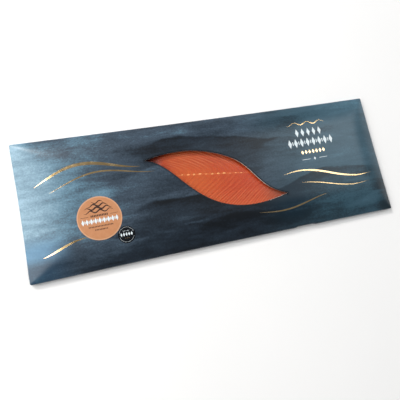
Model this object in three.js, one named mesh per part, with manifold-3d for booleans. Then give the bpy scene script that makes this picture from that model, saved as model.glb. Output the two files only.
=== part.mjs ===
// A side of smoked salmon in its long flat card carton. The carton's lid is pillowed by the fish and has
// a leaf-shaped window, and two round paper labels lie on it. Millimetres, +Z up, lying flat on its back,
// with the origin under the middle of the base. The fish's head end is at +X.
import * as THREE from 'three';
import { mergeVertices } from 'three/addons/utils/BufferGeometryUtils.js';
import Module from 'manifold-3d';

const wasm = await Module();
wasm.setup();

// Driving dimensions.
const carton = {
  length: 600,
  width: 207,
  rimHeight: 8, // upright card wall all round
  lidRise: 12.4, // from the rim up to the plateau over the fish
  lidDome: 1.6, // further rise to the middle of the plateau
  tailSlope: 92, // run of the lid's slope at the thin tail end
  headSlope: 46, // run of the slope at the thick head end
  sideSlope: 52, // run of the slope along the two long sides
  hipSharpness: 5, // how tight the lid turns over the diagonal hips
  card: 1,
  bow: 1.6, // how far the middle of each edge is drawn in by the pillowed lid
  dentFrom: 112, // shallow thumb dent in the front edge
  dentTo: 151,
  dentDepth: 1.3,
};
const halfLength = carton.length / 2;
const halfWidth = carton.width / 2;

// The window's two tips and the handles of the curves between them.
const windowCut = {
  tailTip: [-110.5, 45],
  headTip: [108.5, -44],
  upperBend: [27, 28],
  upperTailHandles: [[-72.5, 54.5], [-23, 57]],
  upperHeadHandles: [[62.5, 7.5], [60, -28]],
  lowerHandles: [[-47, -81.5], [-52.5, 33.5]],
  stepsPerCurve: 14,
};

const fish = {
  tail: -268,
  head: 272,
  tailHalfWidth: 30,
  bodyHalfWidth: 82,
  growsFrom: -0.12, // shares of the length between which it widens
  fullFrom: 0.6,
  endHalfWidth: 0.72, // share of the half width left at the very ends
  endRounding: 0.05, // share of the length that each end is rounded over
  rimThickness: 4,
  floorGap: 0.3,
  gapAtTailTip: 5.6, // below the card towards the window's tail tip, where the fish is thinner
  gapAtHeadTip: 4, // and at its head tip
  tipHollow: 7.5, // depth of the hollow in the fish under the tail tip
  tipHollowReach: 32, // and its radius
  edgeRoundness: 5, // higher is flatter on top and rounder at the edge
  rowsPerHalf: 8,
  edgeCrowding: 0.35, // how much closer together the rows are near the edges
};

// The flakes: ridges that cross the fish and trail back from the line of pin bones on both sides.
const flakes = {
  pitch: 9.2,
  depth: 0.5,
  reach: 70, // distance from the bone line past which a flake runs straight across
  backSlope: 0.1,
  backCurve: 0.028,
  bellySlope: 1,
  bellyCurve: 0.013,
  tailFade: 210, // the flakes straighten over this run at the tail
  headFade: 60, // and over this one at the head end
};

// The line of pin bones rises from the middle of the tail, then dips by twice its fall towards the head.
const boneLine = { height: 7.9, fall: 16.5, run: 125, rise: 150 };

const labels = {
  round_label: { at: [-190.8, -29.3], radius: 32.2, rings: 4, sectors: 40, colour: 0xd28a52 },
  small_roundel: { at: [-157.3, -60.2], radius: 12.6, rings: 2, sectors: 28, colour: 0x20242c },
};
const labelThickness = 0.3;
const labelGap = 0.15;

// Steps of the carton's grid: on each slope of the lid and on its plateau, along and across.
const steps = { alongSlope: 7, alongFlat: 8, acrossSlope: 6, acrossFlat: 5, crowding: 1.3 };

function material(colour, roughness) {
  return new THREE.MeshStandardMaterial({ color: colour, roughness, metalness: 0 });
}

// Smooth step from 0 at low to 1 at high.
function ease(value, low, high) {
  const t = THREE.MathUtils.clamp((value - low) / (high - low), 0, 1);
  return t * t * (3 - 2 * t);
}

// Distance of the front edge's dent from the straight edge.
function dent(x) {
  const start = ease(x, carton.dentFrom, carton.dentFrom + 6);
  const end = ease(x, carton.dentTo - 3, carton.dentTo);
  return carton.dentDepth * start * (1 - end);
}

// Plan position of a point of the carton, from shares -1 to 1 of its length and width.
function cartonPlan(along, across) {
  const reach = halfLength - carton.bow * (1 - across ** 2);
  const straight = along * reach;
  const pulledIn = carton.bow * (1 - along ** 2) + (across < 0 ? dent(straight) : 0);
  return [straight, across * (halfWidth - pulledIn)];
}

// Height of the lid's outer face over a point of the plan: slopes up from all four edges meet in soft hips.
function lidHeight(x, y) {
  const shares = [
    (halfLength + x) / carton.tailSlope,
    (halfLength - x) / carton.headSlope,
    (halfWidth - Math.abs(y)) / carton.sideSlope,
  ];
  const closeness = shares.map((share) => Math.max(share, 1e-3) ** -carton.hipSharpness);
  const nearest = closeness.reduce((sum, value) => sum + value) ** (-1 / carton.hipSharpness);
  const climbed = Math.min(nearest, 1);
  const dome = carton.lidDome * (1 - (x / halfLength) ** 2) * (1 - (y / halfWidth) ** 2);
  return carton.rimHeight + carton.lidRise * climbed * (2 - climbed) + dome;
}

// Shares -1 to 1 across a span, close together on its two slopes and wide apart between them.
function stations(span, firstSlope, lastSlope, slopeSteps, flatSteps) {
  const places = [];
  for (let i = 0; i < slopeSteps; i += 1) {
    places.push(firstSlope * (i / slopeSteps) ** steps.crowding);
  }
  const flat = span - firstSlope - lastSlope;
  for (let i = 0; i <= flatSteps; i += 1) {
    places.push(firstSlope + (flat * i) / flatSteps);
  }
  for (let i = slopeSteps - 1; i >= 0; i -= 1) {
    places.push(span - lastSlope * (i / slopeSteps) ** steps.crowding);
  }
  return places.map((place) => (2 * place) / span - 1);
}

// Closed solid over a grid of points [x, y, z]: the grid is its top, over upright sides and a level base.
function solidUnderGrid(grid, base) {
  const lastColumn = grid.length - 1;
  const lastRow = grid[0].length - 1;
  const rim = [];
  for (let i = 0; i <= lastColumn; i += 1) rim.push([i, 0]);
  for (let j = 1; j <= lastRow; j += 1) rim.push([lastColumn, j]);
  for (let i = lastColumn - 1; i >= 0; i -= 1) rim.push([i, lastRow]);
  for (let j = lastRow - 1; j > 0; j -= 1) rim.push([0, j]);
  const positions = grid.flat(2);
  rim.forEach(([i, j]) => positions.push(grid[i][j][0], grid[i][j][1], base));
  const top = (i, j) => i * (lastRow + 1) + j;
  const footPlaces = new Map(rim.map(([i, j], k) => [top(i, j), (lastColumn + 1) * (lastRow + 1) + k]));
  const foot = (i, j) => footPlaces.get(top(i, j));
  const index = [];
  for (let i = 0; i < lastColumn; i += 1) {
    for (let j = 0; j < lastRow; j += 1) {
      index.push(top(i, j), top(i + 1, j), top(i + 1, j + 1));
      index.push(top(i, j), top(i + 1, j + 1), top(i, j + 1));
    }
    if (i > 0 && i < lastColumn - 1) {
      index.push(foot(i, 0), foot(i + 1, lastRow), foot(i + 1, 0));
      index.push(foot(i, 0), foot(i, lastRow), foot(i + 1, lastRow));
    }
  }
  for (let j = 0; j < lastRow; j += 1) {
    index.push(foot(0, j), foot(0, j + 1), foot(1, 0));
    index.push(foot(lastColumn, j + 1), foot(lastColumn, j), foot(lastColumn - 1, 0));
  }
  index.push(foot(1, 0), foot(0, lastRow), foot(1, lastRow));
  index.push(foot(lastColumn - 1, 0), foot(lastColumn - 1, lastRow), foot(lastColumn, lastRow));
  rim.forEach(([i, j], k) => {
    const [nextI, nextJ] = rim[(k + 1) % rim.length];
    index.push(foot(i, j), foot(nextI, nextJ), top(nextI, nextJ));
    index.push(foot(i, j), top(nextI, nextJ), top(i, j));
  });
  const geometry = new THREE.BufferGeometry();
  geometry.setAttribute('position', new THREE.Float32BufferAttribute(positions, 3));
  geometry.setIndex(index);
  return geometry;
}

// The carton's outer form, or with an inset its hollow.
function cartonBlock(inset) {
  const { tailSlope, headSlope, sideSlope } = carton;
  const alongs = stations(carton.length, tailSlope, headSlope, steps.alongSlope, steps.alongFlat);
  const acrosses = stations(carton.width, sideSlope, sideSlope, steps.acrossSlope, steps.acrossFlat);
  const grid = alongs.map((along) => acrosses.map((across) => {
    const [x, y] = cartonPlan(along, across);
    const height = lidHeight(x, y) - inset;
    return [x * (1 - inset / halfLength), y * (1 - inset / halfWidth), height];
  }));
  return solidUnderGrid(grid, inset);
}

// Leaf-shaped prism that goes through the lid alone.
function windowPrism() {
  const leaf = new THREE.Shape();
  leaf.moveTo(...windowCut.tailTip);
  leaf.bezierCurveTo(...windowCut.lowerHandles[1], ...windowCut.lowerHandles[0], ...windowCut.headTip);
  leaf.bezierCurveTo(
    ...windowCut.upperHeadHandles[1], ...windowCut.upperHeadHandles[0], ...windowCut.upperBend,
  );
  leaf.bezierCurveTo(
    ...windowCut.upperTailHandles[1], ...windowCut.upperTailHandles[0], ...windowCut.tailTip,
  );
  const depth = carton.lidRise + carton.lidDome + carton.rimHeight;
  const prism = new THREE.ExtrudeGeometry(leaf, {
    depth,
    bevelEnabled: false,
    curveSegments: windowCut.stepsPerCurve,
  });
  return prism.translate(0, 0, carton.rimHeight);
}

function toSolid(geometry) {
  const bare = geometry.clone();
  bare.deleteAttribute('normal');
  bare.deleteAttribute('uv');
  const merged = mergeVertices(bare, 1e-4);
  return new wasm.Manifold(new wasm.Mesh({
    numProp: 3,
    vertProperties: new Float32Array(merged.attributes.position.array),
    triVerts: new Uint32Array(merged.index.array),
  }));
}

function toGeometry(solid) {
  const mesh = solid.getMesh();
  const geometry = new THREE.BufferGeometry();
  geometry.setAttribute('position', new THREE.BufferAttribute(new Float32Array(mesh.vertProperties), 3));
  geometry.setIndex(new THREE.BufferAttribute(new Uint32Array(mesh.triVerts), 1));
  return geometry;
}

function cartonMesh() {
  const shell = toSolid(cartonBlock(0))
    .subtract(toSolid(cartonBlock(carton.card)))
    .subtract(toSolid(windowPrism()));
  const mesh = new THREE.Mesh(toGeometry(shell), material(0x44586a, 0.45));
  mesh.name = 'carton';
  return mesh;
}

// Across position of the line of pin bones.
function boneLineAt(x) {
  const height = boneLine.height - boneLine.fall * Math.tanh(x / boneLine.run);
  return height * ease(x, fish.tail, fish.tail + boneLine.rise);
}

// Half the fillet's width: narrow at the tail, full behind the head, with rounded ends.
function fishHalfWidth(x) {
  const share = (x - fish.tail) / (fish.head - fish.tail);
  const body = ease(share, fish.growsFrom, fish.fullFrom);
  const width = THREE.MathUtils.lerp(fish.tailHalfWidth, fish.bodyHalfWidth, body);
  const fromEnd = Math.min(Math.min(share, 1 - share) / fish.endRounding, 1);
  const rounding = Math.sqrt(1 - (1 - fromEnd) ** 2);
  return width * THREE.MathUtils.lerp(fish.endHalfWidth, 1, rounding);
}

// How far a flake trails towards the tail at a distance from the bone line, positive on the back's side.
function flakeLean(distance, x) {
  const reach = flakes.reach * Math.tanh(Math.abs(distance) / flakes.reach);
  const back = flakes.backSlope * reach + flakes.backCurve * reach ** 2;
  const belly = flakes.bellySlope * reach + flakes.bellyCurve * reach ** 2;
  const fromTail = ease(x, fish.tail, fish.tail + flakes.tailFade);
  const fromHead = 1 - ease(x, fish.head - flakes.headFade, fish.head);
  return (distance > 0 ? back : belly) * fromTail * fromHead;
}

// Height of the film-wrapped fish: a little under the card, hollow under the window's tail tip, and
// falling round to a thin edge.
function fishHeight(x, y, towardsEdge) {
  const [tailX, tailY] = windowCut.tailTip;
  const [headX, headY] = windowCut.headTip;
  const along = (x - tailX) / (headX - tailX);
  const across = (y - tailY) / (headY - tailY);
  const tipShare = THREE.MathUtils.clamp((along + across) / 2, 0, 1);
  const gap = THREE.MathUtils.lerp(fish.gapAtTailTip, fish.gapAtHeadTip, tipShare);
  const fromTip = Math.hypot(x - tailX, y - tailY);
  const hollow = fish.tipHollow * (1 - ease(fromTip, 0, fish.tipHollowReach));
  const full = lidHeight(x, y) - carton.card - gap - hollow;
  const rimTop = carton.card + fish.floorGap + fish.rimThickness;
  return rimTop + (full - rimTop) * Math.sqrt(1 - Math.abs(towardsEdge) ** fish.edgeRoundness);
}

// Shares -1 to 1 of the way from the bone line to the belly's edge and to the back's.
function fishRows() {
  const rows = [];
  for (let j = -fish.rowsPerHalf; j <= fish.rowsPerHalf; j += 1) {
    const even = j / fish.rowsPerHalf;
    const crowded = Math.sin((even * Math.PI) / 2);
    rows.push(THREE.MathUtils.lerp(even, crowded, fish.edgeCrowding));
  }
  return rows;
}

// The film-wrapped fillet: a column of points on each flake's crest and one in each groove between two.
function fishMesh() {
  const columns = 2 * Math.round((fish.head - fish.tail) / flakes.pitch);
  const grid = [];
  for (let i = 0; i <= columns; i += 1) {
    const start = THREE.MathUtils.lerp(fish.tail, fish.head, i / columns);
    const inGroove = i % 2 === 1;
    grid.push(fishRows().map((share) => {
      const x = start - flakeLean(share * fish.bodyHalfWidth, start);
      const edge = Math.sign(share) * fishHalfWidth(x);
      const y = THREE.MathUtils.lerp(boneLineAt(x), edge, Math.abs(share));
      const groove = inGroove ? flakes.depth * (1 - Math.abs(share) ** 3) : 0;
      return [x, y, fishHeight(x, y, share) - groove];
    }));
  }
  const mesh = new THREE.Mesh(solidUnderGrid(grid, carton.card + fish.floorGap), material(0xc8623a, 0.3));
  mesh.name = 'salmon_side';
  return mesh;
}

// Thin round label that lies on the lid and follows its slope.
function labelMesh(name, label) {
  const ringPoints = [];
  for (let ring = 1; ring <= label.rings; ring += 1) {
    for (let sector = 0; sector < label.sectors; sector += 1) {
      const turn = (sector / label.sectors) * 2 * Math.PI;
      const radius = (label.radius * ring) / label.rings;
      ringPoints.push([label.at[0] + radius * Math.cos(turn), label.at[1] + radius * Math.sin(turn)]);
    }
  }
  const plan = [label.at, ...ringPoints];
  const under = plan.map(([x, y]) => [x, y, lidHeight(x, y) + labelGap]);
  const over = under.map(([x, y, z]) => [x, y, z + labelThickness]);
  const index = [];
  const face = (a, b, c) => {
    index.push(a + plan.length, b + plan.length, c + plan.length);
    index.push(a, c, b);
  };
  const at = (ring, sector) => 1 + (ring - 1) * label.sectors + (sector % label.sectors);
  for (let sector = 0; sector < label.sectors; sector += 1) {
    face(0, at(1, sector), at(1, sector + 1));
    for (let ring = 1; ring < label.rings; ring += 1) {
      face(at(ring, sector), at(ring + 1, sector), at(ring + 1, sector + 1));
      face(at(ring, sector), at(ring + 1, sector + 1), at(ring, sector + 1));
    }
    const here = at(label.rings, sector);
    const next = at(label.rings, sector + 1);
    index.push(here, next, next + plan.length);
    index.push(here, next + plan.length, here + plan.length);
  }
  const geometry = new THREE.BufferGeometry();
  geometry.setAttribute('position', new THREE.Float32BufferAttribute([...under, ...over].flat(), 3));
  geometry.setIndex(index);
  const mesh = new THREE.Mesh(geometry, material(label.colour, 0.5));
  mesh.name = name;
  return mesh;
}

const group = new THREE.Group();
group.add(cartonMesh());
group.add(fishMesh());
Object.entries(labels).forEach(([name, label]) => group.add(labelMesh(name, label)));

export default group;
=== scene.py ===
"""The looks of a pack of smoked salmon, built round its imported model.

The printed carton, the fillet and the film over it, the two labels, and the foil and ink on the lid are
meshes worked out here from named sizes. The lid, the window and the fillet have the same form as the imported
solids. Sizes are in millimetres until a mesh is made, and colours are the screen's 0 to 255.
"""
import math
import random

import bmesh
import bpy
import numpy as np
from mathutils import Matrix, Vector, noise
from mathutils.geometry import delaunay_2d_cdt


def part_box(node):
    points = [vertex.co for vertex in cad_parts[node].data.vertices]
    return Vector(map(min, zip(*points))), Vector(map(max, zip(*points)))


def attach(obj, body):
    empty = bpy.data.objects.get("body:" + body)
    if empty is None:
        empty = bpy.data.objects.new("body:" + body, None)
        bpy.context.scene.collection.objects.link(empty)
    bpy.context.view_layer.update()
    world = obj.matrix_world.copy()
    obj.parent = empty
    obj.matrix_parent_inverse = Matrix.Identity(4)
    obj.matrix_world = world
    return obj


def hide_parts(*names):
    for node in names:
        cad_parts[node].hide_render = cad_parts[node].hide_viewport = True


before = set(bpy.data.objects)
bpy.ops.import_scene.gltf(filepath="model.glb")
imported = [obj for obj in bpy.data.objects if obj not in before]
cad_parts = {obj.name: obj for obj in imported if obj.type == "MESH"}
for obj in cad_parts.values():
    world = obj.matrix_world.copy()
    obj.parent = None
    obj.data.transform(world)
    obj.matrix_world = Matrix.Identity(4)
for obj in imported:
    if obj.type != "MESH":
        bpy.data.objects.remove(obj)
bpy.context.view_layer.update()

MM = 0.001
BODY = "root"

# ---- Sizes ----

# The carton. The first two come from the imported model, the others repeat it.
HALF_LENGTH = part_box("carton")[1].x / MM
HALF_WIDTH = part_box("carton")[1].y / MM
RIM_HEIGHT = 8.0
LID_RISE = 12.4
LID_DOME = 1.6
TAIL_SLOPE = 92.0
HEAD_SLOPE = 46.0
SIDE_SLOPE = 52.0
HIP_SHARPNESS = 5
CARD = 1.0
BOW = 1.6
DENT_FROM = 112.0
DENT_TO = 151.0
DENT_DEPTH = 1.3
DENT_SHOULDERS = (6.0, 3.0)

# What only the looks have: folds, the pressed edge of the window, the lid's slight waves, the glued seam.
FOLD_RADIUS = 0.8
FOLD_STEPS = 4
CORNER_RADIUS = 2.6
WALL_STEPS = 3
WALL_BULGE = 0.15
LID_FOLD_WEAR = 1.0
WALL_TOP_WEAR = 0.3
BASE_FOLD_WEAR = 0.6
WAVE_HEIGHT = 0.22
WAVE_LENGTH = Vector((75.0, 48.0))
WAVE_INSET = 25.0
CUT_FLARE = 0.32
HEAD_TIP_FLARE = 0.3
# The pressed edge: distance from the cut, how far the card sinks there, and how dark the keyline is, which is
# partly print and partly painted shade along the cut.
CUT_EDGE = ((0.0, 0.22, 0.9), (0.35, 0.05, 0.85), (1.2, 0.0, 0.7), (3.0, 0.0, 0.0))
SEAM_Y = 62.0
SEAM_STEP = 0.35
SEAM_WIDTH = 0.6

# Spacing of the points of the carton's faces: the rim and the lid, the base, and both on the inside. The
# margin is the share of it that the even grid keeps from any edge.
LID_SPACING = 3.0
BASE_SPACING = 9.0
INNER_LID_SPACING = 6.0
INNER_BASE_SPACING = 15.0
INNER_WALL_GAP = 0.1
GRID_MARGIN = 0.6

# The window's two tips and the handles of the curves between them.
TAIL_TIP = (-110.5, 45.0)
HEAD_TIP = (108.5, -44.0)
UPPER_BEND = (27.0, 28.0)
UPPER_TAIL_HANDLES = ((-72.5, 54.5), (-23.0, 57.0))
UPPER_HEAD_HANDLES = ((62.5, 7.5), (60.0, -28.0))
LOWER_HANDLES = ((-47.0, -81.5), (-52.5, 33.5))

# The fillet: its ends, half widths and thin edge, and the shares of its length over which it widens.
FISH_TAIL = -268.0
FISH_HEAD = 272.0
TAIL_HALF_WIDTH = 30.0
BODY_HALF_WIDTH = 82.0
GROWS_FROM = -0.12
FULL_FROM = 0.6
END_HALF_WIDTH = 0.72
END_ROUNDING = 0.05
FISH_RIM = 4.0
FLOOR_GAP = 0.3
EDGE_ROUNDNESS = 5

# How far it lies below the card at the window's tips, and the hollow in it under the tail tip.
GAP_AT_TAIL_TIP = 5.6
GAP_AT_HEAD_TIP = 4.0
TIP_HOLLOW = 7.5
TIP_HOLLOW_REACH = 32.0

# Columns and half rows of points of the fillet and of its film, and how much the rows crowd to the edges.
EDGE_CROWDING = 0.35
FISH_COLUMNS = 440
FISH_ROWS = 46
FILM_COLUMNS = 220
FILM_ROWS = 26

# The film, with the share of the hollow that it bridges and of a groove that it follows, and the flesh.
FILM_THICKNESS = 0.1
FILM_BRIDGES = 0.75
FILM_IN_GROOVES = 0.4
FILM_SLACK = 0.1
FILM_SLACK_LENGTH = Vector((30.0, 9.0))
FLESH_BELOW_FILM = 0.4
FLESH_GRAIN = 0.05

# The line of pin bones, and the flakes that trail back from it on both sides.
BONE_HEIGHT = 7.9
BONE_FALL = 16.5
BONE_RUN = 125.0
BONE_RISE = 150.0
FLAKE_REACH = 70.0
BACK_SLOPE = 0.1
BACK_CURVE = 0.028
BELLY_SLOPE = 1.0
BELLY_CURVE = 0.013
TAIL_FADE = 210.0
HEAD_FADE = 60.0
BACK_PITCH = 8.6
BELLY_PITCH = 9.7
FLAKE_DEPTH = 0.2
FLAKE_WANDER = 0.5

# The ends of the pin bones: the first one's place, their spacing, which are small, and the least and most
# of half the length, half the width and half the height.
FIRST_BONE_END = -56.5
BONE_END_SPACING = 9.7
BONE_ENDS = 11
SMALL_BONE_ENDS = (0, 4, 8, 9, 10)
SMALL_BONE_SIZES = ((1.3, 1.6), (0.7, 0.9))
LARGE_BONE_SIZES = ((2.0, 2.5), (1.1, 1.4))
BONE_END_HEIGHTS = (0.16, 0.24)

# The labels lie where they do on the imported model, but close on the lid.
ROUND_LABEL = Vector((-190.8, -29.3))
ROUND_LABEL_RADIUS = 32.2
ROUNDEL = Vector((-157.3, -60.2))
ROUNDEL_RADIUS = 12.6
LABEL_THICKNESS = 0.28
LABEL_FOOT = 0.02
LABEL_EDGE_INSET = 0.12
LABEL_EDGE_DROP = 0.08

# Ink and foil: the middle of the ornament on the lid, the lift off the lid or a label, the thickness, and
# the half width to which a stroke narrows at its ends.
ORNAMENT = Vector((171.5, 34.0))
INK_LIFT = 0.06
INK_THICKNESS = 0.045
LABEL_LIFT = LABEL_THICKNESS + INK_LIFT
LEAST_HALF_WIDTH = 0.04

# The camera and its view.
CAMERA_PLACE = Vector((-179.66, -112.04, 601.07))
CAMERA_TARGET = Vector((-35.2, -28.0, 8.0))
CAMERA_TURN = math.radians(-10.28)
LENS = 35.09
SENSOR = 36.0


# ---- Form of the lid, the window and the fillet ----

def lerp(low, high, share):
    return low + (high - low) * share


def spread(low, high, steps):
    """Evenly spaced values from low to high, both ends included."""
    return [lerp(low, high, step / steps) for step in range(steps + 1)]


def ease(value, low, high):
    """Smooth step from 0 at low to 1 at high."""
    share = min(max((value - low) / (high - low), 0.0), 1.0)
    return share * share * (3 - 2 * share)


def lid_height(x, y):
    """Height of the lid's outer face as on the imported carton."""
    shares = (
        (HALF_LENGTH + x) / TAIL_SLOPE,
        (HALF_LENGTH - x) / HEAD_SLOPE,
        (HALF_WIDTH - abs(y)) / SIDE_SLOPE,
    )
    closeness = sum(max(share, 1e-3) ** -HIP_SHARPNESS for share in shares)
    climbed = min(closeness ** (-1 / HIP_SHARPNESS), 1.0)
    dome = LID_DOME * (1 - (x / HALF_LENGTH) ** 2) * (1 - (y / HALF_WIDTH) ** 2)
    return RIM_HEIGHT + LID_RISE * climbed * (2 - climbed) + dome


def lid_surface(x, y):
    """The lid's height with the slight waves of card that is held up by what lies under it."""
    wave = noise.noise(Vector((x / WAVE_LENGTH.x, y / WAVE_LENGTH.y, 0.5)))
    inward = ease(min(HALF_LENGTH - abs(x), HALF_WIDTH - abs(y)), 0.0, WAVE_INSET)
    return lid_height(x, y) + WAVE_HEIGHT * wave * inward


def dent(x):
    start = ease(x, DENT_FROM, DENT_FROM + DENT_SHOULDERS[0])
    end = ease(x, DENT_TO - DENT_SHOULDERS[1], DENT_TO)
    return DENT_DEPTH * start * (1 - end)


def side_reach(x, front):
    """Distance of a long side from the middle."""
    return HALF_WIDTH - BOW * (1 - (x / HALF_LENGTH) ** 2) - (dent(x) if front else 0.0)


def end_reach(y):
    """Distance of a short side from the middle."""
    return HALF_LENGTH - BOW * (1 - (y / HALF_WIDTH) ** 2)


def rim_loop(inset):
    """Plan of the carton's outline, inset from its walls, anticlockwise from the front left corner."""
    long_run = end_reach(HALF_WIDTH - CORNER_RADIUS) - CORNER_RADIUS
    short_run = side_reach(HALF_LENGTH - CORNER_RADIUS, front=False) - CORNER_RADIUS
    radius = CORNER_RADIUS - inset
    loop = []
    for quarter, (side_x, side_y) in enumerate(((1, -1), (1, 1), (-1, 1), (-1, -1))):
        run = (long_run, short_run)[quarter % 2]
        heading = 1 if quarter < 2 else -1
        for distance in spread(-run, run, round(2 * run / LID_SPACING)):
            along = heading * distance
            if run == long_run:
                loop.append((along, side_y * (side_reach(along, front=quarter == 0) - inset)))
            else:
                loop.append((side_x * (end_reach(along) - inset), along))
        for step in range(1, FOLD_STEPS):
            turn = math.radians(90 * (quarter - 1) + 90 * step / FOLD_STEPS)
            x = side_x * long_run + radius * math.cos(turn)
            y = side_y * short_run + radius * math.sin(turn)
            loop.append((x, y))
    return loop


def ellipse_plan(x, y, half_length, half_width, sectors):
    turns = [2 * math.pi * sector / sectors for sector in range(sectors)]
    return [(x + half_length * math.cos(turn), y + half_width * math.sin(turn)) for turn in turns]


def bezier(start, handle, other_handle, end, steps):
    """Points of a curve, without its end."""
    points = []
    for step in range(steps):
        t = step / steps
        weights = ((1 - t) ** 3, 3 * (1 - t) ** 2 * t, 3 * (1 - t) * t ** 2, t ** 3)
        corners = (start, handle, other_handle, end)
        points.append(tuple(sum(w * c[axis] for w, c in zip(weights, corners)) for axis in (0, 1)))
    return points


def window_outline():
    """The leaf, anticlockwise from its tail tip."""
    lower = bezier(TAIL_TIP, LOWER_HANDLES[1], LOWER_HANDLES[0], HEAD_TIP, 100)
    upper_head = bezier(HEAD_TIP, UPPER_HEAD_HANDLES[1], UPPER_HEAD_HANDLES[0], UPPER_BEND, 44)
    upper_tail = bezier(UPPER_BEND, UPPER_TAIL_HANDLES[1], UPPER_TAIL_HANDLES[0], TAIL_TIP, 56)
    return lower + upper_head + upper_tail


def offset_outline(points, distances):
    """A closed anticlockwise outline with each point moved outwards by its distance."""
    moved = []
    for i, (here, distance) in enumerate(zip(points, distances)):
        before = Vector(here) - Vector(points[i - 1])
        after = Vector(points[(i + 1) % len(points)]) - Vector(here)
        outward = Vector((before.y, -before.x)).normalized() + Vector((after.y, -after.x)).normalized()
        moved.append(tuple(Vector(here) + outward.normalized() * distance))
    return moved


def underside_outline():
    """The window on the lid's underside: the cut leans in where it faces the tail and by the head tip."""
    outline = window_outline()
    tips = (Vector(TAIL_TIP), Vector(HEAD_TIP))
    flares = []
    for i, point in enumerate(outline):
        from_tips = min((Vector(point) - tip).length for tip in tips)
        along = Vector(outline[(i + 1) % len(outline)]) - Vector(outline[i - 1])
        outward = Vector((along.y, -along.x)).normalized()
        facing_tail = ease(outward.x, 0.45, 0.8) * ease(from_tips, 1.0, 24.0)
        by_head_tip = ease(point[0], 55.0, 90.0) * ease(-outward.y, 0.6, 0.9) * ease(from_tips, 0.5, 8.0)
        flares.append(-CUT_FLARE * facing_tail - HEAD_TIP_FLARE * by_head_tip)
    return offset_outline(outline, flares)


def span_finder(outline):
    """Function that gives an outline's lowest and highest across position at x."""
    split = outline.index(max(outline))
    lower = outline[:split + 1]
    upper = (outline[split:] + outline[:1])[::-1]

    def span(x):
        return tuple(np.interp(x, [p[0] for p in side], [p[1] for p in side]) for side in (lower, upper))

    return span


def bone_line(x):
    height = BONE_HEIGHT - BONE_FALL * math.tanh(x / BONE_RUN)
    return height * ease(x, FISH_TAIL, FISH_TAIL + BONE_RISE)


def fish_half_width(x):
    share = (x - FISH_TAIL) / (FISH_HEAD - FISH_TAIL)
    width = lerp(TAIL_HALF_WIDTH, BODY_HALF_WIDTH, ease(share, GROWS_FROM, FULL_FROM))
    from_end = min(max(min(share, 1 - share), 0.0) / END_ROUNDING, 1.0)
    return width * lerp(END_HALF_WIDTH, 1.0, math.sqrt(1 - (1 - from_end) ** 2))


def flake_lean(distance, x):
    """How far a flake trails towards the tail at a distance from the bone line."""
    reach = FLAKE_REACH * math.tanh(abs(distance) / FLAKE_REACH)
    back = BACK_SLOPE * reach + BACK_CURVE * reach ** 2
    belly = BELLY_SLOPE * reach + BELLY_CURVE * reach ** 2
    from_tail = ease(x, FISH_TAIL, FISH_TAIL + TAIL_FADE)
    from_head = 1 - ease(x, FISH_HEAD - HEAD_FADE, FISH_HEAD)
    return (back if distance > 0 else belly) * from_tail * from_head


def tip_hollow(x, y):
    """Depth of the hollow in the fillet under the window's tail tip."""
    from_tip = math.hypot(x - TAIL_TIP[0], y - TAIL_TIP[1])
    return TIP_HOLLOW * (1 - ease(from_tip, 0.0, TIP_HOLLOW_REACH))


def fish_height(x, y, towards_edge):
    """Height of the wrapped fillet, just under the card, falling round to a thin edge."""
    along = (x - TAIL_TIP[0]) / (HEAD_TIP[0] - TAIL_TIP[0])
    across = (y - TAIL_TIP[1]) / (HEAD_TIP[1] - TAIL_TIP[1])
    tip_share = min(max((along + across) / 2, 0.0), 1.0)
    gap = lerp(GAP_AT_TAIL_TIP, GAP_AT_HEAD_TIP, tip_share)
    full = lid_height(x, y) - CARD - gap - tip_hollow(x, y)
    rim_top = CARD + FLOOR_GAP + FISH_RIM
    return rim_top + (full - rim_top) * math.sqrt(1 - abs(towards_edge) ** EDGE_ROUNDNESS)


# ---- Making meshes ----

def link(name, data):
    made = bpy.data.objects.new(name, data)
    bpy.context.scene.collection.objects.link(made)
    return made


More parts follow.
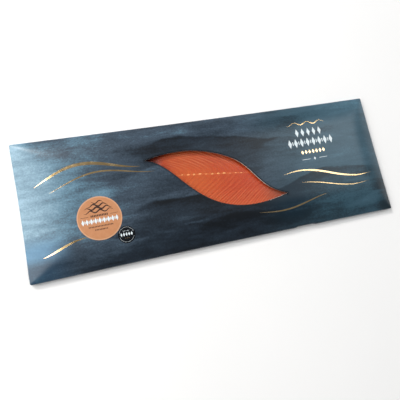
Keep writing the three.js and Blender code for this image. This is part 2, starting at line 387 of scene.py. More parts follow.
class Piece:
    """Gathers points and faces in millimetres, welds points that coincide, and makes an object of them."""

    WELD = 1e-4
    SHARP_ANGLE = math.radians(32)

    def __init__(self):
        self.points = []
        self.places = {}
        self.values = {}
        self.faces = []
        self.looks = []

    def point(self, place, **values):
        key = tuple(round(number / self.WELD) for number in place)
        if key not in self.places:
            self.places[key] = len(self.points)
            self.points.append(tuple(place))
        index = self.places[key]
        for name, value in values.items():
            self.values.setdefault(name, {})[index] = value
        return index

    def face(self, corners, look=0):
        distinct = list(dict.fromkeys(corners))
        if len(distinct) > 2:
            self.faces.append(distinct)
            self.looks.append(look)

    def bridge(self, first, second, look=0, closed=True):
        """Quads between two rows of as many points."""
        for i in range(len(first) if closed else len(first) - 1):
            j = (i + 1) % len(first)
            self.face([first[i], first[j], second[j], second[i]], look)

    def fan(self, tip, loop):
        """Triangles from a tip to a closed loop."""
        for first, second in zip(loop, loop[1:] + loop[:1]):
            self.face([tip, first, second])

    def chain(self, rows, look=0, closed=True):
        """Quads from each row to the next."""
        for first, second in zip(rows, rows[1:]):
            self.bridge(first, second, look, closed)

    def slab(self, outer, inner):
        """A closed sheet between two grids of points of one size."""
        for grid in (outer, inner):
            self.chain(grid, closed=False)
        for end in (0, -1):
            self.bridge(outer[end], inner[end], closed=False)
            self.bridge([row[end] for row in outer], [row[end] for row in inner], closed=False)

    def make(self, name, materials, replaced=None, centre=(0.0, 0.0, 0.0)):
        mesh = bpy.data.meshes.new(name)
        metres = [tuple((p[axis] - centre[axis]) * MM for axis in range(3)) for p in self.points]
        mesh.from_pydata(metres, [], self.faces)
        for material in materials:
            mesh.materials.append(material)
        mesh.polygons.foreach_set("material_index", self.looks)
        for value_name, found in self.values.items():
            attribute = mesh.attributes.new(value_name, "FLOAT", "POINT")
            attribute.data.foreach_set("value", [found.get(i, 0.0) for i in range(len(self.points))])
        edit = bmesh.new()
        edit.from_mesh(mesh)
        bmesh.ops.recalc_face_normals(edit, faces=edit.faces)
        for edge in edit.edges:
            edge.smooth = edge.calc_face_angle(0.0) < self.SHARP_ANGLE
        for face in edit.faces:
            face.smooth = True
        edit.to_mesh(mesh)
        edit.free()
        mesh.update()
        made = link(name, mesh)
        made.location = Vector(centre) * MM
        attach(made, BODY)
        if replaced:
            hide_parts(replaced)
        return made


# ---- Materials ----

def screen(red, green, blue):
    """A colour given as on a screen, as the linear colour that shaders take."""
    def linear(channel):
        share = channel / 255
        return share / 12.92 if share <= 0.04045 else ((share + 0.055) / 1.055) ** 2.4
    return (linear(red), linear(green), linear(blue), 1.0)


class Paint:
    """The node tree of a material or world, built by calls whose arguments are sockets or plain values."""

    def __init__(self, owner):
        self.owner = owner
        owner.use_nodes = True
        self.tree = owner.node_tree
        self.tree.nodes.clear()

    def add(self, kind, inputs=None, **settings):
        """A new node with these settings, and its inputs linked to sockets or set to plain values."""
        node = self.tree.nodes.new(kind)
        for name, value in settings.items():
            setattr(node, name, value)
        for name, value in (inputs or {}).items():
            if isinstance(value, bpy.types.NodeSocket):
                self.tree.links.new(value, node.inputs[name])
            else:
                node.inputs[name].default_value = value
        return node

    def math(self, operation, first, second=0.0, third=0.0):
        return self.add("ShaderNodeMath", {0: first, 1: second, 2: third}, operation=operation).outputs[0]

    def times(self, product, *factors):
        for factor in factors:
            product = self.math("MULTIPLY", product, factor)
        return product

    def scaled(self, value, factor, base):
        """The value times the factor, added to the base."""
        return self.math("MULTIPLY_ADD", value, factor, base)

    def swing(self, value, factor, base):
        """How far the value is above a half, times the factor, added to the base."""
        return self.scaled(self.math("SUBTRACT", value, 0.5), factor, base)

    def ripple(self, value, sharpness):
        """1 at each whole value and 0 halfway, the narrower at its top the higher the sharpness."""
        wave = self.math("COSINE", self.times(value, 2 * math.pi))
        return self.math("POWER", self.scaled(wave, 0.5, 0.5), sharpness)

    def place(self):
        """Position in the object, in millimetres."""
        spot = self.add("ShaderNodeTexCoord").outputs["Object"]
        return self.add("ShaderNodeVectorMath", {0: spot, "Scale": 1 / MM}, operation="SCALE").outputs[0]

    def split(self, vector):
        return self.add("ShaderNodeSeparateXYZ", {0: vector}).outputs[:]

    def join(self, x, y, z=0.0):
        return self.add("ShaderNodeCombineXYZ", {0: x, 1: y, 2: z}).outputs[0]

    def distance(self, first, second):
        inputs = {0: first, 1: second}
        return self.add("ShaderNodeVectorMath", inputs, operation="DISTANCE").outputs["Value"]

    def noise(self, vector, scale=1.0, detail=4.0, roughness=0.5, distortion=0.0):
        inputs = {"Vector": vector, "Scale": scale, "Detail": detail, "Roughness": roughness}
        return self.add("ShaderNodeTexNoise", {**inputs, "Distortion": distortion}).outputs["Fac"]

    def grain(self, vector, lengths, *character):
        """Noise of the given lengths along the axes, with its detail, roughness and distortion."""
        scale = tuple(1 / length for length in lengths)
        inputs = {0: vector, 1: scale}
        stretched = self.add("ShaderNodeVectorMath", inputs, operation="MULTIPLY").outputs[0]
        return self.noise(stretched, 1.0, *character)

    def value(self, name):
        """A number that the mesh carries at each point."""
        return self.add("ShaderNodeAttribute", attribute_name=name).outputs["Fac"]

    def ease(self, value, low, high, start=0.0, end=1.0):
        """Smooth step from start to end as the value goes from low to high."""
        inputs = {0: value, 1: low, 2: high, 3: start, 4: end}
        return self.add("ShaderNodeMapRange", inputs, interpolation_type="SMOOTHSTEP").outputs[0]

    def mix(self, share, first, second):
        """A mix node's colours go in at its inputs 6 and 7 and come out at its output 2."""
        inputs = {0: share, 6: first, 7: second}
        return self.add("ShaderNodeMix", inputs, data_type="RGBA", clamp_factor=True).outputs[2]

    def layered(self, colour, layers):
        """A colour with others laid over it in turn, each by its share."""
        for share, over in layers:
            colour = self.mix(share, colour, over)
        return colour

    def bump(self, height, distance, strength):
        """Normal of fine relief, which is as deep in millimetres as the distance says where height is 1."""
        inputs = {"Height": height, "Distance": distance * MM, "Strength": strength}
        return self.add("ShaderNodeBump", inputs).outputs["Normal"]

    def finish(self, **inputs):
        """The surface's shader, with underscores in the names of its inputs for their spaces."""
        named = {name.replace("_", " "): value for name, value in inputs.items()}
        return self.show(self.add("ShaderNodeBsdfPrincipled", named).outputs[0])

    def show(self, shader):
        self.add("ShaderNodeOutputMaterial", {"Surface": shader})
        return self.owner


def new_material(name):
    return Paint(bpy.data.materials.new(name))


INK_BLACK = screen(10, 13, 19)
NAVY = screen(31, 39, 50)
SLATE = screen(60, 72, 86)
MIST_BLUE = screen(99, 134, 154)
PALE_BLUE = screen(150, 184, 204)
TEAL = screen(58, 98, 114)
# Painted sheen and shade of the tail end's front corner: the blues above and below its hip.
PAINTED_SHEEN_BLUE = screen(92, 150, 188)
PAINTED_SHADE_BLUE = screen(30, 66, 92)
DEEP_TEAL = screen(10, 38, 54)
WORN_CARD = screen(150, 160, 170)

# The print's colours from dark to light: the tones between which each one takes over, and the colour.
PRINT_COLOURS = (
    (0.02, 0.3, NAVY),
    (0.24, 0.52, SLATE),
    (0.46, 0.78, MIST_BLUE),
    (0.7, 1.05, PALE_BLUE),
)

# Broad fields of the tone, partly print and partly painted sheen and shade: how much each lightens the tone,
# and the steps whose product is its share. A step says along what it runs, from where to where, and its
# shares there unless they are 0 and 1.
PRINT_BASE_TONE = 0.36
PRINT_SHEEN_AND_SHADE_FIELDS = (
    # Lighter towards the tail end: partly the print's pale wash, partly painted sheen of the tail-end slope.
    (0.52, (("wander", -120, -310),)),
    (0.1, (("wander", 90, 240),)),
    (0.05, (("y", 55, 95),)),
    # Painted shade on the back slope near the tail-end corner.
    (-0.26, (("x", -190, -250), ("x", -292, -262), ("y", 60, 92))),
    # Darker towards the front: partly print, partly painted shade of the front slope.
    (-0.16, (("y", -15, -90), ("wander", -140, -270, 0.7, 2.3))),
    # Painted shade at the front of the head-end slope.
    (-0.3, (("y", -15, -80), ("x", 258, 292))),
)

# Streaks, clouds and grains of the print: how much each swings the tone, its lengths along the three axes,
# and the noise's detail, roughness and distortion.
PRINT_TEXTURES = (
    (0.58, (90, 13, 40), 8.0, 0.58, 0.5),
    (0.46, (48, 30, 30), 6.0, 0.62, 0.0),
    (0.5, (3.0, 2.4, 2.4), 4.0, 0.75, 0.0),
)

# Soft bands of the print: height across the lid, swing, length of a swing, where in it the band starts, how
# far it fades below its crest, how much it lightens the tone, and its two ends along the lid.
MIST_BANDS = (
    (96.0, 5.0, 340.0, 1.0, 40.0, -0.12, (70.0, 250.0)),
    (94.0, 5.0, 300.0, 2.2, 30.0, 0.12, (215.0, 380.0)),
    (62.0, 14.0, 360.0, 2.6, 28.0, -0.28, (-140.0, 230.0)),
    (36.0, 13.0, 380.0, 1.2, 30.0, 0.14, (-250.0, -30.0)),
    (30.0, 22.0, 460.0, 5.6, 34.0, 0.15, (40.0, 320.0)),
    (-14.0, 12.0, 360.0, 0.9, 22.0, 0.14, (-240.0, 20.0)),
    (-28.0, 12.0, 310.0, 3.4, 30.0, -0.37, (-150.0, 310.0)),
    (-58.0, 8.0, 260.0, 1.4, 16.0, 0.2, (-235.0, 20.0)),
    (-68.0, 8.0, 400.0, 2.0, 20.0, -0.16, (-180.0, 220.0)),
    (-76.0, 7.0, 260.0, 0.36, 12.0, 0.16, (190.0, 380.0)),
)
BAND_END_FADE = 70
CREST_DRIFT = 34.0
FIELD_DRIFT = 60.0

# The dark teal round the window's head tip, and the reach of its fading.
DEEP_TEAL_CENTRE = (112.0, -44.0, 0.0)
DEEP_TEAL_FADE = (66.0, 10.0)


def mist_band(paint, x, y, drift, band):
    """Tone of a soft band: sharp at its crest, fading below it and towards its ends."""
    height, swing, length, start, fade, tone, ends = band
    turn = paint.scaled(x, 2 * math.pi / length, start)
    crest = paint.math("ADD", drift, paint.scaled(paint.math("SINE", turn), swing, height))
    below = paint.math("SUBTRACT", crest, y)
    sharp = paint.ease(below, -1.5, 3.0)
    faded = paint.math("EXPONENT", paint.times(paint.math("MAXIMUM", below, 0.0), -1 / fade))
    from_tail = paint.ease(x, ends[0], ends[0] + BAND_END_FADE)
    from_head = paint.ease(x, ends[1] - BAND_END_FADE, ends[1], 1.0, 0.0)
    return paint.times(sharp, faded, from_tail, from_head, tone)


def print_tone_with_sheen_and_shade(paint, place, x, y):
    """How light the print is, 0 to 1, with painted sheen and shade in it: dark in the middle and in front,
    light at the tail end, with mist.
    """
    drift = paint.math("SUBTRACT", paint.grain(place, (110, 60, 110)), 0.5)
    axes = {"x": x, "y": y, "wander": paint.scaled(drift, FIELD_DRIFT, x)}
    tone = PRINT_BASE_TONE
    for weight, steps in PRINT_SHEEN_AND_SHADE_FIELDS:
        shares = [paint.ease(axes[axis], *limits) for axis, *limits in steps]
        tone = paint.scaled(paint.times(*shares), weight, tone)
    for weight, *texture in PRINT_TEXTURES:
        tone = paint.swing(paint.grain(place, *texture), weight, tone)
    crest_drift = paint.times(drift, CREST_DRIFT)
    for band in MIST_BANDS:
        tone = paint.math("ADD", tone, mist_band(paint, x, y, crest_drift, band))
    return tone


def print_material():
    """Satin varnished print: navy in the middle, pale blue at the tail end, teal at the head end, with
    painted sheen and shade on its slopes and a dark keyline round the window that is partly painted shade.
    """
    paint = new_material("printed_card")
    place = paint.place()
    x, y, z = paint.split(place)
    tone = print_tone_with_sheen_and_shade(paint, place, x, y)
    # Painted sheen and shade at the tail end's front corner: clear blue on the end slope above the hip, deep
    # blue on the front slope below it.
    corner_sheen_and_shade = paint.mix(paint.ease(y, -64, -82), PAINTED_SHEEN_BLUE, PAINTED_SHADE_BLUE)
    by_tip = paint.ease(paint.distance(paint.join(x, y), DEEP_TEAL_CENTRE), *DEEP_TEAL_FADE)
    patchy = paint.ease(paint.noise(place, 0.06, 4.0, 0.6), 0.35, 0.75, 0.06, 0.42)
    layers = [(paint.ease(tone, low, high), lighter) for low, high, lighter in PRINT_COLOURS]
    layers += [
        (paint.times(paint.ease(x, 20, 200, 0.06, 0.56), paint.ease(tone, 0.1, 0.4, 0.3, 1.0)), TEAL),
        # Painted sheen and shade at the tail end's front corner.
        (paint.times(paint.ease(x, -225, -280), paint.ease(y, -35, -60, 0.0, 0.6)), corner_sheen_and_shade),
        (paint.times(by_tip, paint.ease(tone, 0.0, 0.5, 0.75, 0.3)), DEEP_TEAL),
        # The keyline round the window: partly print, partly painted shade along the cut.
        (paint.value("keyline"), INK_BLACK),
        (paint.ease(z, 0.9, 0.2, 0.0, 0.8), NAVY),
        (paint.times(paint.value("wear"), patchy), WORN_CARD),
    ]
    fibres = paint.grain(place, (2.2, 1.1, 1.6), 3.0)
    return paint.finish(
        Base_Color=paint.layered(INK_BLACK, layers),
        Roughness=paint.ease(fibres, 0.2, 0.8, 0.3, 0.4),
        Normal=paint.bump(fibres, 0.015, 0.5),
        Specular_IOR_Level=0.4,
    )


def board_material():
    """Bare white board: the inside of the carton and its cut edges."""
    paint = new_material("bare_board")
    place = paint.place()
    fibres = paint.grain(place, (1.6, 0.8, 0.8), 5.0, 0.7)
    blotches = paint.noise(place, 0.03, 3.0)
    colour = paint.mix(fibres, screen(186, 184, 178), screen(226, 225, 220))
    colour = paint.mix(paint.times(blotches, 0.3), colour, screen(176, 172, 162))
    return paint.finish(Base_Color=colour, Roughness=0.85, Normal=paint.bump(fibres, 0.05, 0.6))


def fat_lines(paint, x, side, flakes, ragged):
    """One line to a flake, strong on the back and weak on the belly, and thinner ones low on the belly."""
    uneven = paint.noise(paint.join(paint.times(flakes, 0.8), paint.times(side, 0.03)))
    on_back = paint.times(paint.ease(side, 6.0, 26.0, 0.0, 0.42), paint.ease(x, -95.0, -45.0, 0.15, 1.0))
    on_belly = paint.times(paint.ease(side, -3, -24, 0.0, 0.12), paint.ease(side, -42, -34, 0.4, 1.0))
    strength = paint.times(paint.math("ADD", on_back, on_belly), paint.ease(uneven, 0.38, 0.6, 0.25, 1.0))
    thin_lines = paint.ripple(paint.times(ragged, 1.75), 2.0)
    thin_lines = paint.times(thin_lines, paint.ease(side, -20.0, -38.0, 0.0, 0.24))
    return paint.scaled(paint.ripple(ragged, 4.0), strength, thin_lines)


def salmon_material():
    """Moist orange-red flesh with pale lines of fat that trail back from the bone line on both sides, and
    painted shade towards the window's tips.
    """
    paint = new_material("salmon")
    place = paint.place()
    x, _, _ = paint.split(place)
    side = paint.value("side")
    flakes = paint.value("flakes")
    fine = paint.grain(place, (2.2, 2.2, 2.2), 5.0, 0.65)
    patches = paint.noise(place, 0.022, 4.0)
    along_flake = paint.join(paint.times(flakes, 7.0), paint.times(side, 0.09))
    fibres = paint.noise(along_flake, detail=4.0, roughness=0.6)
    ragged = paint.swing(fibres, 0.16, paint.swing(fine, 0.2, flakes))
    fat = fat_lines(paint, x, side, flakes, ragged)
    belly = paint.times(paint.ease(side, -36, -60), paint.ease(fine, 0.3, 0.7, 0.2, 0.5))
    bone_line = paint.ease(paint.math("ABSOLUTE", side), 1.6, 0.4)
    bone_line = paint.times(bone_line, paint.ease(fine, 0.4, 0.6, 0.1, 0.4))
    tailwards = paint.ease(paint.scaled(patches, 60.0, x), 70.0, -40.0)
    colour = paint.layered(screen(194, 74, 32), (
        (tailwards, screen(204, 98, 45)),
        (paint.ease(patches, 0.35, 0.7, 0.0, 0.5), screen(188, 64, 30)),
        (paint.ease(side, 6.0, 26.0, 0.0, 0.5), screen(174, 74, 42)),
        (paint.ease(paint.ripple(ragged, 1.0), 0.4, 0.0, 0.0, 0.1), screen(178, 50, 20)),
        (paint.ease(fibres, 0.5, 0.72, 0.0, 0.26), screen(232, 120, 66)),
        (paint.ease(fibres, 0.5, 0.3, 0.0, 0.3), screen(164, 46, 20)),
        (fat, screen(240, 154, 104)),
        (belly, screen(228, 128, 84)),
        # Painted shade: the flesh darkens towards the window's head tip and tail tip, where the card shades
        # it.
        (paint.ease(x, 60.0, 96.0, 0.0, 0.7), screen(140, 74, 54)),
        (paint.ease(x, -66.0, -98.0, 0.0, 0.75), screen(144, 30, 8)),
        (bone_line, screen(244, 150, 84)),
        (paint.value("bone"), screen(252, 176, 112)),
    ))
    relief = paint.math("ADD", fine, fibres)
    return paint.finish(
        Base_Color=colour,
        Roughness=paint.ease(fine, 0.2, 0.8, 0.3, 0.48),
        Normal=paint.bump(relief, 0.12, 0.5),
        Subsurface_Weight=0.18,
        Subsurface_Radius=(1.0, 0.35, 0.15),
        Subsurface_Scale=2.0 * MM,
        Specular_IOR_Level=0.35,
    )


def film_material():
    """Clear film: glossy, with faint wrinkles, and barely seen where nothing is mirrored in it."""
    paint = new_material("clear_film")
    place = paint.place()
    wrinkles = paint.grain(place, (26, 9, 9), 3.0, 0.5, 0.8)
    creases = paint.grain(place, (60, 14, 14), 1.0, 0.5, 1.6)
    normal = paint.bump(paint.scaled(creases, 1.5, wrinkles), 0.4, 0.35)
    edge_on = paint.add("ShaderNodeLayerWeight", {"Blend": 0.5, "Normal": normal}).outputs["Facing"]
    share = paint.scaled(paint.math("POWER", edge_on, 5.0), 0.96, 0.03)
    gloss = paint.add("ShaderNodeBsdfPrincipled", {
        "Base Color": screen(250, 248, 244),
        "Metallic": 1.0,
        "Roughness": 0.16,
        "Normal": normal,
    }).outputs[0]
    clear = paint.add("ShaderNodeBsdfTransparent").outputs[0]
    return paint.show(paint.add("ShaderNodeMixShader", {0: share, 1: clear, 2: gloss}).outputs[0])


def label_material(name, radius, gloss, face, shade, rim):
    """Satin label paper with a rim of another colour and uneven ink."""
    paint = new_material(name)
    place = paint.place()
    x, y, _ = paint.split(place)
    far = paint.distance(paint.join(x, y), (0.0, 0.0, 0.0))
    mottle = paint.noise(place, 0.12, 5.0, 0.6)
    fibres = paint.grain(place, (1.3, 0.7, 1.0), 3.0)
    colour = paint.mix(paint.ease(mottle, 0.3, 0.7, 0.0, 0.5), face, shade)
    return paint.finish(
        Base_Color=paint.mix(paint.ease(far, radius - 1.9, radius - 1.3), colour, rim),
        Roughness=paint.ease(mottle, 0.2, 0.8, 0.36, 0.48),
        Normal=paint.bump(fibres, 0.02, 0.6),
        Specular_IOR_Level=gloss,
    )


def ink_material(name, colour, other):
    """Flat ink with the slight unevenness of a solid print."""
    paint = new_material(name)
    mottle = paint.noise(paint.place(), 0.5, 4.0, 0.6)
    mixed = paint.mix(paint.ease(mottle, 0.35, 0.7, 0.0, 0.6), colour, other)
    return paint.finish(Base_Color=mixed, Roughness=0.5, Normal=paint.bump(mottle, 0.01, 0.5))


def foil_material():
    """Bright hot foil, a little uneven where it took to the card."""
    paint = new_material("gold_foil")
    mottle = paint.noise(paint.place(), 0.12, 3.0)
    return paint.finish(
        Base_Color=paint.mix(mottle, screen(238, 200, 140), screen(252, 228, 182)),
        Metallic=1.0,
        Roughness=paint.ease(mottle, 0.3, 0.7, 0.2, 0.28),
        Normal=paint.bump(mottle, 0.01, 0.3),
    )


# ---- Carton ----

PRINTED = 0
BOARD = 1


def grid_points(rim, hole, clear, spacing):
    """An even staggered grid inside the carton's folds, clear of a hole."""
    margin = GRID_MARGIN * spacing
    low_x, low_y = (min(p[axis] for p in rim) for axis in (0, 1))
    columns = round(-2 * low_x / spacing)
    rows = round(-2 * low_y / spacing)
    hole_span = span_finder(hole) if hole else None
    points = []
    for i in range(1, columns):
        x = lerp(low_x, -low_x, i / columns)
        near_hole = bool(hole) and TAIL_TIP[0] - clear < x < HEAD_TIP[0] + clear
        low, high = hole_span(x) if near_hole else (math.inf, -math.inf)
        reach = side_reach(x, front=True) - FOLD_RADIUS - margin
        for j in range(1, rows):
            y = lerp(low_y, -low_y, (j + 0.5 * (i % 2)) / rows)
            inside = abs(y) < reach and abs(x) < end_reach(y) - FOLD_RADIUS - margin
            if inside and not low - clear < y < high + clear:
                points.append((x, y))
    return points


def loop_edges(first, count):
    return [(first + i, first + (i + 1) % count) for i in range(count)]


def sheet_between(outline, hole, loops, spacing):
    """Triangles of a flat sheet in plan: its outline, a hole, loops of points round it and an even grid."""
    loops_width = CUT_EDGE[-1][0] if loops else 0.0
    grid = grid_points(outline, hole, GRID_MARGIN * spacing + loops_width, spacing)
    points = outline + hole + sum(loops, []) + grid
    edges = loop_edges(0, len(outline)) + loop_edges(len(outline), len(hole))
    plan = [Vector(point) for point in points]
    whole_hull = 0
    merged_within = 1e-6
    placed, _, triangles, givens, _, _ = delaunay_2d_cdt(plan, edges, [], whole_hull, merged_within, True)
    given = [names[0] for names in givens]

    def turn(triangle):
        """Positive if the triangle's corners, in the order they were given, go round anticlockwise."""
        first, second, third = (placed[corner] for corner in sorted(triangle, key=lambda i: given[i]))
        return (second - first).cross(third - first)

    def belongs(triangle):
        names = [given[corner] for corner in triangle]
        if max(names) < len(outline):
            return turn(triangle) > 0
        if len(outline) <= min(names) and max(names) < len(outline) + len(hole):
            return turn(triangle) < 0
        return True

    return [points[name] for name in given], [triangle for triangle in triangles if belongs(triangle)]


def lay_sheet(piece, sheet, point_at, look):
    """Adds a flat sheet's triangles to a piece, with each point put in its place by point_at."""
    points, triangles = sheet
    places = [point_at(x, y) for x, y in points]
    for triangle in triangles:
        piece.face([places[corner] for corner in triangle], look)


def base_height(y):
    """The underside: the glued panel beyond the seam lies one thin step higher."""
    return SEAM_STEP * ease(y, SEAM_Y, SEAM_Y + SEAM_WIDTH)


def fold_drop(inset):
    """Drop of a rounded fold at an inset from the wall."""
    from_wall = max(FOLD_RADIUS - inset, 0.0)
    return FOLD_RADIUS - math.sqrt(FOLD_RADIUS ** 2 - from_wall ** 2)


def wall_rows(piece):
    """Rows of points down the outside: the lid's fold, the wall and the base's fold."""
    rows = []
    for step in range(1, FOLD_STEPS + 1):
        inset = FOLD_RADIUS * (1 - math.sin(math.radians(90 * step / FOLD_STEPS)))
        drop = fold_drop(inset)
        wear = LID_FOLD_WEAR if step < FOLD_STEPS else WALL_TOP_WEAR
        rows.append([piece.point((x, y, lid_surface(x, y) - drop), wear=wear) for x, y in rim_loop(inset)])
    for step in range(1, WALL_STEPS + 1):
        share = step / (WALL_STEPS + 1)
        height = lerp(RIM_HEIGHT - FOLD_RADIUS, FOLD_RADIUS, share)
        bulge = WALL_BULGE * math.sin(math.pi * share)
        rows.append([piece.point((x, y, height)) for x, y in rim_loop(-bulge)])
    for step in range(FOLD_STEPS + 1):
        inset = FOLD_RADIUS * (1 - math.cos(math.radians(90 * step / FOLD_STEPS)))
        drop = fold_drop(inset)
        wear = BASE_FOLD_WEAR * math.sin(math.pi * step / FOLD_STEPS)
        rows.append([piece.point((x, y, base_height(y) + drop), wear=wear) for x, y in rim_loop(inset)])
    return rows


def carton_outside(piece):
    """Lid with its window, rounded folds, walls and base. Returns the window's loop of points."""
    outline = window_outline()
    loops = [offset_outline(outline, [offset] * len(outline)) for offset, _, _ in CUT_EDGE[1:]]
    # Points by the cut carry how far the card sinks and the keyline's darkness, which is partly print and
    # partly painted shade along the cut.
    near_cut = {}
    for (_, sink, tone), loop in zip(CUT_EDGE, [outline] + loops):
        near_cut.update(dict.fromkeys(loop, (sink, tone)))

    def on_lid(x, y):
        sink, tone = near_cut.get((x, y), (0.0, 0.0))
        return piece.point((x, y, lid_surface(x, y) - sink), keyline=tone)

    def on_base(x, y):
        return piece.point((x, y, base_height(y)))

    rim = rim_loop(FOLD_RADIUS)
    lay_sheet(piece, sheet_between(rim, outline, loops, LID_SPACING), on_lid, PRINTED)
    piece.chain([[on_lid(x, y) for x, y in rim]] + wall_rows(piece), PRINTED)
    lay_sheet(piece, sheet_between(rim, [], [], BASE_SPACING), on_base, PRINTED)
    return [on_lid(x, y) for x, y in outline]


def carton_inside(piece):
    """Bare inner faces. Returns the window's loop of points on the lid's underside."""
    outline = underside_outline()
    lower = CARD + FOLD_RADIUS
    wall_inset = CARD + INNER_WALL_GAP
    rim = rim_loop(lower)

    def under_lid(x, y):
        return piece.point((x, y, lid_surface(x, y) - CARD))

    lay_sheet(piece, sheet_between(rim, outline, [], INNER_LID_SPACING), under_lid, BOARD)
    rows = [[under_lid(x, y) for x, y in rim]]
    for inset, height in ((wall_inset, RIM_HEIGHT - lower), (wall_inset, lower), (lower, CARD)):
        rows.append([piece.point((x, y, height)) for x, y in rim_loop(inset)])
    piece.chain(rows, BOARD)
    floor_sheet = sheet_between(rim, [], [], INNER_BASE_SPACING)
    lay_sheet(piece, floor_sheet, lambda x, y: piece.point((x, y, CARD)), BOARD)
    return [under_lid(x, y) for x, y in outline]


def carton(print_look, board_look):
    piece = Piece()
    piece.bridge(carton_outside(piece), carton_inside(piece), BOARD)
    return piece.make("carton_card", [print_look, board_look], "carton")


def end_flaps(look):
    """The tucked flap on each short wall, with rounded free corners."""
    half_span = 95.0
    top = 6.6
    bottom = 1.0
    thickness = 0.35
    corner = 2.4
    steps = 76
    levels = 6
    piece = Piece()
    for end in (-1, 1):
        outer = []
        inner = []
        for y in spread(-half_span, half_span, steps):
            from_corner = max(corner - (half_span - abs(y)), 0.0)
            cut = corner - math.sqrt(corner ** 2 - from_corner ** 2)
            heights = spread(bottom + cut, top, levels)
            wall = end_reach(y) + WALL_BULGE
            outer.append([piece.point((end * (wall + thickness), y, height)) for height in heights])
            inner.append([piece.point((end * wall, y, height)) for height in heights])
        piece.slab(outer, inner)
    return piece.make("end_flaps", [look])


# ---- Fillet and film ----

def row_shares(rows_per_half):
    """Shares -1 to 1 of the way from the bone line to the belly's edge and to the back's."""
    shares = []
    for j in range(-rows_per_half, rows_per_half + 1):
        even = j / rows_per_half
        shares.append(lerp(even, math.sin(even * math.pi / 2), EDGE_CROWDING))
    return shares


def flake_count(start, share):
    """Flakes from the fillet's middle to here, which wander a little off their even pitch."""
    pitch = BACK_PITCH if share > 0 else BELLY_PITCH
    return start / pitch + FLAKE_WANDER * noise.noise(Vector((start * 0.03, share * 4, 1.0)))


def flake_groove(start, share):
    """Depth of the groove between two flakes: each one laps a little over the next."""
    phase = (flake_count(start, share) + 0.5) % 1.0
    lap = ease(phase, 0.0, 0.78) * (1 - ease(phase, 0.82, 1.0))
    near_bones = ease(abs(share), 0.02, 0.12)
    return FLAKE_DEPTH * (1 - lap) * near_bones * (1 - abs(share) ** 3)


def fish_grid(columns, rows_per_half, height_at):
    """Columns of points (x, y, z) that follow the flakes, with each point's start and share."""
    grid = []
    for start in spread(FISH_TAIL, FISH_HEAD, columns):
        column = []
        for share in row_shares(rows_per_half):
            x = start - flake_lean(share * BODY_HALF_WIDTH, start)
            edge = math.copysign(fish_half_width(x), share)
            y = lerp(bone_line(x), edge, abs(share))
            column.append(((x, y, height_at(x, y, start, share)), start, share))
        grid.append(column)
    return grid


def flesh_height(x, y, start, share):
    grain = noise.noise(Vector((x * 0.35, y * 0.35, 2.0)))
    flesh_top = fish_height(x, y, share) - FLESH_BELOW_FILM
    return flesh_top - flake_groove(start, share) + FLESH_GRAIN * grain


def film_height(x, y, start, share):
    """The film lies on the laps of the flakes and bridges the grooves and the hollow in part."""
    slack = noise.noise(Vector((x / FILM_SLACK_LENGTH.x, y / FILM_SLACK_LENGTH.y, 5.0)))
    bridged = FILM_BRIDGES * tip_hollow(x, y)
    sunk = FILM_IN_GROOVES * flake_groove(start, share)
    return fish_height(x, y, share) + bridged - sunk + FILM_SLACK * slack


def fillet(look):
    """The flesh, over a level base."""
    piece = Piece()
    base = CARD + FLOOR_GAP
    top = []
    foot = []
    for column in fish_grid(FISH_COLUMNS, FISH_ROWS, flesh_height):
        top.append([
            piece.point(place, flakes=flake_count(start, share), side=share * BODY_HALF_WIDTH)
            for place, start, share in column
        ])
        ends = (column[0][0], column[-1][0])
        foot.append([piece.point((x, y, base)) for x, y, _ in ends])
    piece.chain(top, closed=False)
    piece.chain(foot, closed=False)
    for end in (0, -1):
        piece.bridge([column[end] for column in top], [pair[end] for pair in foot], closed=False)
        piece.face(top[end] + foot[end][::-1])
    return piece.make("salmon_flesh", [look], "salmon_side")


def bone_end(piece, x, y, length, width, height, rings=4, sectors=12):
    """A small round body, half sunk in the flesh, from half its length, width and height."""
    level = fish_height(x, y, 0.0) - FLESH_BELOW_FILM
    crown = piece.point((x, y, level + height), bone=1.0)
    sole = piece.point((x, y, level - height), bone=1.0)
    loops = []
    for ring in range(1, 2 * rings):
        rise = math.cos(math.pi * ring / (2 * rings))
        reach = math.sqrt(1 - rise ** 2)
        plan = ellipse_plan(x, y, length * reach, width * reach, sectors)
        loops.append([piece.point((*spot, level + height * rise), bone=0.85) for spot in plan])
    piece.chain(loops)
    piece.fan(crown, loops[0])
    piece.fan(sole, loops[-1])


def pin_bones(look):
    """Pale round ends of the pin bones, in a line down the flesh that shows."""
    generator = random.Random(11)
    piece = Piece()
    for index in range(BONE_ENDS):
        x = FIRST_BONE_END + BONE_END_SPACING * index + generator.uniform(-0.7, 0.7)
        y = bone_line(x) + generator.uniform(-0.3, 0.3)
        lengths, widths = SMALL_BONE_SIZES if index in SMALL_BONE_ENDS else LARGE_BONE_SIZES
        sizes = [generator.uniform(*limits) for limits in (lengths, widths, BONE_END_HEIGHTS)]
        bone_end(piece, x, y, *sizes)
    return piece.make("pin_bones", [look])


def film(look):
    piece = Piece()
    grid = fish_grid(FILM_COLUMNS, FILM_ROWS, film_height)
    outer = [[piece.point(place) for place, _, _ in column] for column in grid]
    inner = [[piece.point((x, y, z - FILM_THICKNESS)) for (x, y, z), _, _ in column] for column in grid]
    piece.slab(outer, inner)
    return piece.make("clear_film", [look])


# ---- Labels, foil and ink ----

